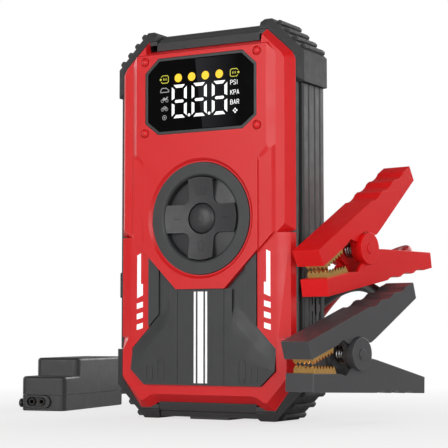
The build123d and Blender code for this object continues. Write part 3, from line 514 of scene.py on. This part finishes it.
# Unit labels in a plain stroke lettering, two units high.
LETTERS = {
    "P": [[(0, 0), (0, 2), (0.85, 2), (1.05, 1.75), (1.05, 1.2), (0.85, 0.95), (0, 0.95)]],
    "S": [[(1.05, 1.8), (0.8, 2), (0.25, 2), (0, 1.75), (0, 1.25), (1.05, 0.8), (1.05, 0.25),
           (0.8, 0), (0.2, 0), (0, 0.2)]],
    "I": [[(0.2, 0), (0.2, 2)]],
    "K": [[(0, 0), (0, 2)], [(1.05, 2), (0, 0.9)], [(0.35, 1.2), (1.1, 0)]],
    "A": [[(0, 0), (0.55, 2), (1.1, 0)], [(0.25, 0.7), (0.85, 0.7)]],
    "B": [[(0, 0), (0, 2), (0.8, 2), (1.0, 1.75), (1.0, 1.25), (0.8, 1.05), (0, 1.05)],
          [(0.8, 1.05), (1.1, 0.8), (1.1, 0.25), (0.85, 0), (0, 0)]],
    "R": [[(0, 0), (0, 2), (0.85, 2), (1.05, 1.75), (1.05, 1.2), (0.85, 0.95), (0, 0.95)],
          [(0.5, 0.95), (1.1, 0)]],
}


def word(text, x, z, size, width):
    """A word in strokes, from its lower left corner."""
    shapes = []
    for letter in text:
        for line in LETTERS[letter]:
            shapes += strokes([(x + a * size, z + b * size) for a, b in line], width)
        x += (0.8 if letter == "I" else 1.66) * size
    return shapes


units = []
for text, z in (("PSI", 183.7), ("KPA", 178.2), ("BAR", 172.8)):
    units += word(text, 19.4, z, 1.2, 0.27)
LEAF, LEAF_OUT = 0.62, 0.95
for dx, dz in ((0, LEAF_OUT), (0, -LEAF_OUT), (LEAF_OUT, 0), (-LEAF_OUT, 0)):
    cx, cz = 22.3 + dx, 169.2 + dz
    units.append([(cx - LEAF, cz), (cx, cz + LEAF), (cx + LEAF, cz), (cx, cz - LEAF)])
marks("display_units", units, LENS_FACE, "glow_white")

# A car, a motorcycle, a bicycle and a ball.
icons = strokes([(-26.2, 182.9), (-25.9, 184.3), (-25.2, 185.2), (-22.4, 185.2), (-21.2, 184.2),
                 (-20.6, 183.9), (-20.7, 182.9)], 0.4, closed=True)
for cx in (-25.0, -21.9):
    icons += strokes(rounds(cx, 178.0, 0.75, 12), 0.3, closed=True)
icons += [[(-25.4, 178.6), (-23.9, 179.9), (-22.6, 179.4), (-21.6, 180.4), (-21.2, 180.0),
           (-22.2, 178.6), (-23.6, 178.2)]]
for cx in (-24.8, -22.2):
    icons += strokes(rounds(cx, 173.2, 0.85, 12), 0.28, closed=True)
icons += strokes([(-24.8, 173.2), (-23.9, 174.7), (-22.5, 174.7), (-22.2, 173.2)], 0.28)
icons += strokes([(-23.9, 174.7), (-23.5, 173.2), (-22.5, 174.7)], 0.28)
marks("display_vehicles", icons, LENS_FACE, "glow_grey")
ball = strokes(rounds(-23.5, 168.5, 1.25, 20), 0.35, closed=True)
ball.append(arc(-23.5, 168.5, 0.55, 90, 378, 4))
marks("display_ball", ball, LENS_FACE, "glow_grey")

# A charge symbol at each upper corner: a cut-cornered cell with a dot at its outer end.
CELL_W, CELL_H, CELL_CUT = 2.35, 2.1, 0.7
flow = []
for cx, side in ((-23.3, -1), (21.6, 1)):
    w, shoulder = side * CELL_W, side * (CELL_W - CELL_CUT)
    for up in (1, -1):
        high, low = FLOW_Z + up * CELL_H, FLOW_Z + up * (CELL_H - CELL_CUT)
        flow += strokes([(cx - w, low), (cx - shoulder, high), (cx + shoulder, high),
                         (cx + w, low)], 0.36)
    flow += strokes([(cx - w, FLOW_Z + CELL_H - CELL_CUT),
                     (cx - w, FLOW_Z - CELL_H + CELL_CUT)], 0.36)
    flow.append(rounds(cx + w + side * 0.45, FLOW_Z, 0.62, 16))
    for x in (cx - 0.9, cx, cx + 0.9):
        flow += strokes([(x, FLOW_Z - 0.5), (x, FLOW_Z + 0.5)], 0.3)
marks("display_flow", flow, LENS_FACE, "glow_lime")

# A painted reflection: a pale wedge on the right side of the glass, as a tilted glass would show,
# palest at its left edge.
painted_reflection = [(-3.4, 200.2), (25.8, 200.2), (33.4, 193.0), (33.4, 167.0), (25.8, 160.9),
         (1.6, 160.9), (-1.0, 180.0)]
marks("display_painted_reflection", [painted_reflection], LENS_FACE + 0.005, "screen_painted_reflection", thick=0.03)

# White stripes on the lower panel, and a bar and three dashes on each side of the cover.
STRIPE_LOW, STRIPE_HIGH = 20.2, 70.4
stripes = []
for x0, x1 in ((-4.3, -3.0), (-1.85, 1.85), (3.0, 4.3)):
    stripes.append([(x0, STRIPE_LOW), (x1, STRIPE_LOW), (x1, STRIPE_HIGH), (x0, STRIPE_HIGH)])
marks("panel_stripes", stripes, PANEL_FACE, "paint_white_painted_glow")
dashes = []
for side in (1, -1):
    dashes.append([(side * 40.3, 92.6), (side * 42.8, 91.4), (side * 42.8, 67.2),
                   (side * 38.9, 68.9), (side * 38.9, 75.2), (side * 40.3, 75.2)])
    for cz in (63.2, 57.3, 51.4):
        dashes.append([(side * 38.9, cz + 2.1), (side * 43.0, cz + 1.0),
                       (side * 43.0, cz - 2.1), (side * 38.9, cz - 1.0)])
marks("frame_dashes", dashes, FRAME_FACE, "paint_white_painted_glow")

# Painted shadow lines in the pill outlines, dark strips where the moulded rims would throw shade:
# one just outside each outline and one just inside it.
PILL_HALF_W, PILL_LOW, PILL_CORNER = 2.15, 20.8, 2.1
painted_pill_shadows = []
for side in (1, -1):
    for cx, high in ((side * 26.0, 33.5), (side * 33.5, 29.9)):
        for grow in (0.12, -0.52):
            r = PILL_CORNER + grow
            reach = PILL_HALF_W - PILL_CORNER
            top, bottom = high + grow - r, PILL_LOW - grow + r
            loop = arc(cx + reach, top, r, 0, 90, 6) + arc(cx - reach, top, r, 90, 180, 6)
            loop += arc(cx - reach, bottom, r, 180, 270, 6)
            loop += arc(cx + reach, bottom, r, 270, 360, 6)
            loop = [p for k, p in enumerate(loop) if math.dist(p, loop[k - 1]) > 0.03]
            painted_pill_shadows += strokes(loop, 0.14, closed=True)
marks("panel_pill_painted_shadows", painted_pill_shadows, PANEL_FACE, "dark_print_and_painted_shadow", thick=0.02)


# Marks on the keys, which follow the hollow of the rocker and the dome of the power key.
ROCKER_FACE, ROCKER_DISH = -20.3, 118.0
DOME = [(0, -22.7), (3.0, -22.55), (5.6, -22.05), (7.4, -21.2), (8.3, -20.2)]


def rocker_level(x, z):
    """The depth of the dished rocker at a place on the front, in mm."""
    return ROCKER_FACE - ROCKER_DISH + math.sqrt(ROCKER_DISH ** 2 - x * x - (z - KEY_Z) ** 2)


def dome_level(x, z):
    """The depth of the domed power key at a place on the front, in mm."""
    r = math.hypot(x, z - KEY_Z)
    for (r0, y0), (r1, y1) in zip(DOME, DOME[1:]):
        if r <= r1:
            return y0 + (y1 - y0) * (r - r0) / (r1 - r0)
    return DOME[-1][1]


key_marks = strokes([(-17.6, KEY_Z), (-14.2, KEY_Z)], 0.55)
key_marks += strokes([(13.6, KEY_Z), (17.4, KEY_Z)], 0.55)
key_marks += strokes([(-3.2, KEY_Z + 13.2), (3.2, KEY_Z + 13.2)], 0.35)
for k in range(5):
    x = -3.2 + 1.6 * k
    key_marks += strokes([(x, KEY_Z + 13.6), (x, KEY_Z + (17.8 if k % 2 == 0 else 16.4))], 0.35)
key_marks += strokes(arc(0, KEY_Z - 14.6, 1.9, -50, 230, 12), 0.35)
key_marks += strokes([(1.2, KEY_Z - 16.1), (0.9, KEY_Z - 17.9), (-0.9, KEY_Z - 17.9),
                      (-1.2, KEY_Z - 16.1)], 0.35)
marks("rocker_marks", key_marks, rocker_level, "dark_print_and_painted_shadow", body="rocker",
      thick=0.04)
power_marks = strokes(arc(0, KEY_Z, 2.1, 125, 415, 18), 0.4)
power_marks += strokes([(0, KEY_Z + 0.4), (0, KEY_Z + 2.6)], 0.4)
marks("power_mark", power_marks, dome_level, "dark_print_and_painted_shadow", body="power",
      thick=0.04)

# ---- strain reliefs --------------------------------------------------------------------------

# The module lies on the floor, turned by this angle. Its front end is at MODULE_FRONT, and the
# leads leave its other end side by side.
MODULE_YAW = math.radians(10.3)
MODULE_FRONT = Vector((-0.1332, 0.0113, 0))
MODULE_LENGTH = 90.0
LEAD_FROM_MIDDLE = 7.0
LEAD_HEIGHT = 9.5
along = Vector((-math.sin(MODULE_YAW), math.cos(MODULE_YAW), 0))
across = Vector((math.cos(MODULE_YAW), math.sin(MODULE_YAW), 0))
upward = Vector((0, 0, 1))


def strain_relief(name, side):
    """A ribbed, tapered sleeve round a lead where it leaves the module."""
    profile = [(0.0, 5.15), (0.7, 5.2)]
    for rib in range(4):
        y = 1.1 + 2.15 * rib
        r = 5.0 - 0.3 * rib
        profile += [(y, r), (y + 0.25, r - 0.55), (y + 0.9, r - 0.55), (y + 1.15, r - 0.1),
                    (y + 2.0, r - 0.25)]
    profile += [(9.85, 3.75), (10.0, 3.45)]
    verts, faces, count = [], [], 40
    for y, r in profile:
        for k in range(count):
            a = 2 * math.pi * k / count
            offset = across * (side * LEAD_FROM_MIDDLE + r * math.cos(a))
            offset += along * (MODULE_LENGTH + y) + upward * (LEAD_HEIGHT + r * math.sin(a))
            verts.append(MODULE_FRONT + offset * MM)
    for row in range(len(profile) - 1):
        for k in range(count):
            n = (k + 1) % count
            faces.append((row * count + k, row * count + n, (row + 1) * count + n,
                          (row + 1) * count + k))
    faces.append(tuple(range(count)))
    faces.append(tuple((len(profile) - 1) * count + k for k in reversed(range(count))))
    obj = new_object(name, verts, faces, "black_rubber", "pack", smooth=True)
    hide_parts("lead_grommets")


strain_relief("strain_relief_red", -1)
strain_relief("strain_relief_black", 1)

# ---- floor, light and background -------------------------------------------------------------

FLOOR_HALF = 6.0
floor_mesh = bpy.data.meshes.new("floor")
floor_mesh.from_pydata([(-FLOOR_HALF, -FLOOR_HALF, 0), (FLOOR_HALF, -FLOOR_HALF, 0),
                        (FLOOR_HALF, FLOOR_HALF, 0), (-FLOOR_HALF, FLOOR_HALF, 0)],
                       [], [(0, 1, 2, 3)])
floor = link_new("floor", floor_mesh)

# The floor is pale paper that whitens away from the object, so that it has no far edge.
paper = bpy.data.materials.new("paper")
paper.use_nodes = True
floor_mesh.materials.append(paper)
tree = paper.node_tree
nodes, links = tree.nodes, tree.links
paper_shader = nodes["Principled BSDF"]
paper_shader.inputs["Base Color"].default_value = (0.62, 0.62, 0.62, 1)
paper_shader.inputs["Roughness"].default_value = 0.8
paper_shader.inputs["Specular IOR Level"].default_value = 0.15
white = nodes.new("ShaderNodeEmission")
place = nodes.new("ShaderNodeNewGeometry")
reach = nodes.new("ShaderNodeVectorMath")
reach.operation = "LENGTH"
links.new(place.outputs["Position"], reach.inputs[0])
fade = nodes.new("ShaderNodeMath")
fade.operation = "MULTIPLY"
links.new(add_ramp(tree, reach.outputs["Value"], 0.05, 0.50, 0.70, 1.0), fade.inputs[0])
ray = nodes.new("ShaderNodeLightPath")
links.new(ray.outputs["Is Camera Ray"], fade.inputs[1])
blend = nodes.new("ShaderNodeMixShader")
links.new(fade.outputs["Value"], blend.inputs[0])
links.new(paper_shader.outputs["BSDF"], blend.inputs[1])
links.new(white.outputs["Emission"], blend.inputs[2])
links.new(blend.outputs["Shader"], nodes["Material Output"].inputs["Surface"])

# The world lights from the horizon more than from above, and its backdrop is plain white.
world = bpy.data.worlds.new("studio")
bpy.context.scene.world = world
world.use_nodes = True
tree = world.node_tree
nodes, links = tree.nodes, tree.links
dome = nodes["Background"]
dome.inputs["Color"].default_value = (1, 1, 1, 1)
direction = nodes.new("ShaderNodeTexCoord")
split_up = nodes.new("ShaderNodeSeparateXYZ")
links.new(direction.outputs["Generated"], split_up.inputs["Vector"])
links.new(add_ramp(tree, split_up.outputs["Z"], 0.0, 0.8, 0.42, 0.06), dome.inputs["Strength"])
backdrop = nodes.new("ShaderNodeBackground")
backdrop.inputs["Color"].default_value = (1, 1, 1, 1)
ray = nodes.new("ShaderNodeLightPath")
blend = nodes.new("ShaderNodeMixShader")
links.new(ray.outputs["Is Camera Ray"], blend.inputs[0])
links.new(dome.outputs["Background"], blend.inputs[1])
links.new(backdrop.outputs["Background"], blend.inputs[2])
links.new(blend.outputs["Shader"], nodes["World Output"].inputs["Surface"])

# The lights all face the middle of the pack.
LIT_POINT = Vector((0, 0, 0.1))


def softbox(name, azimuth, elevation, distance, size, power):
    """A soft area light in this direction from the object; azimuth 0 is in front."""
    a, e = math.radians(azimuth), math.radians(elevation)
    away = Vector((math.sin(a) * math.cos(e), -math.cos(a) * math.cos(e), math.sin(e)))
    light = bpy.data.lights.new(name, "AREA")
    light.shape = "RECTANGLE"
    light.size, light.size_y = size
    light.energy = power
    obj = link_new(name, light)
    obj.location = LIT_POINT + distance * away
    obj.rotation_euler = (-away).to_track_quat("-Z", "Y").to_euler()


softbox("key", -9, 9, 1.5, (0.8, 1.1), 13)
softbox("fill", 42, 9, 1.6, (0.7, 1.0), 10)
softbox("right_front", 98, 10, 1.6, (0.5, 0.8), 3.4)
softbox("rim", 140, 30, 1.6, (0.8, 1.2), 4)
softbox("back_left", -118, 16, 1.6, (1.0, 1.2), 3)
softbox("left", -100, 14, 1.6, (0.8, 1.0), 5)
softbox("back_right", 172, 18, 1.7, (0.8, 1.0), 11)
softbox("overhead", 10, 80, 1.6, (1.4, 1.4), 1.5)
bpy.context.scene.view_settings.view_transform = "Standard"
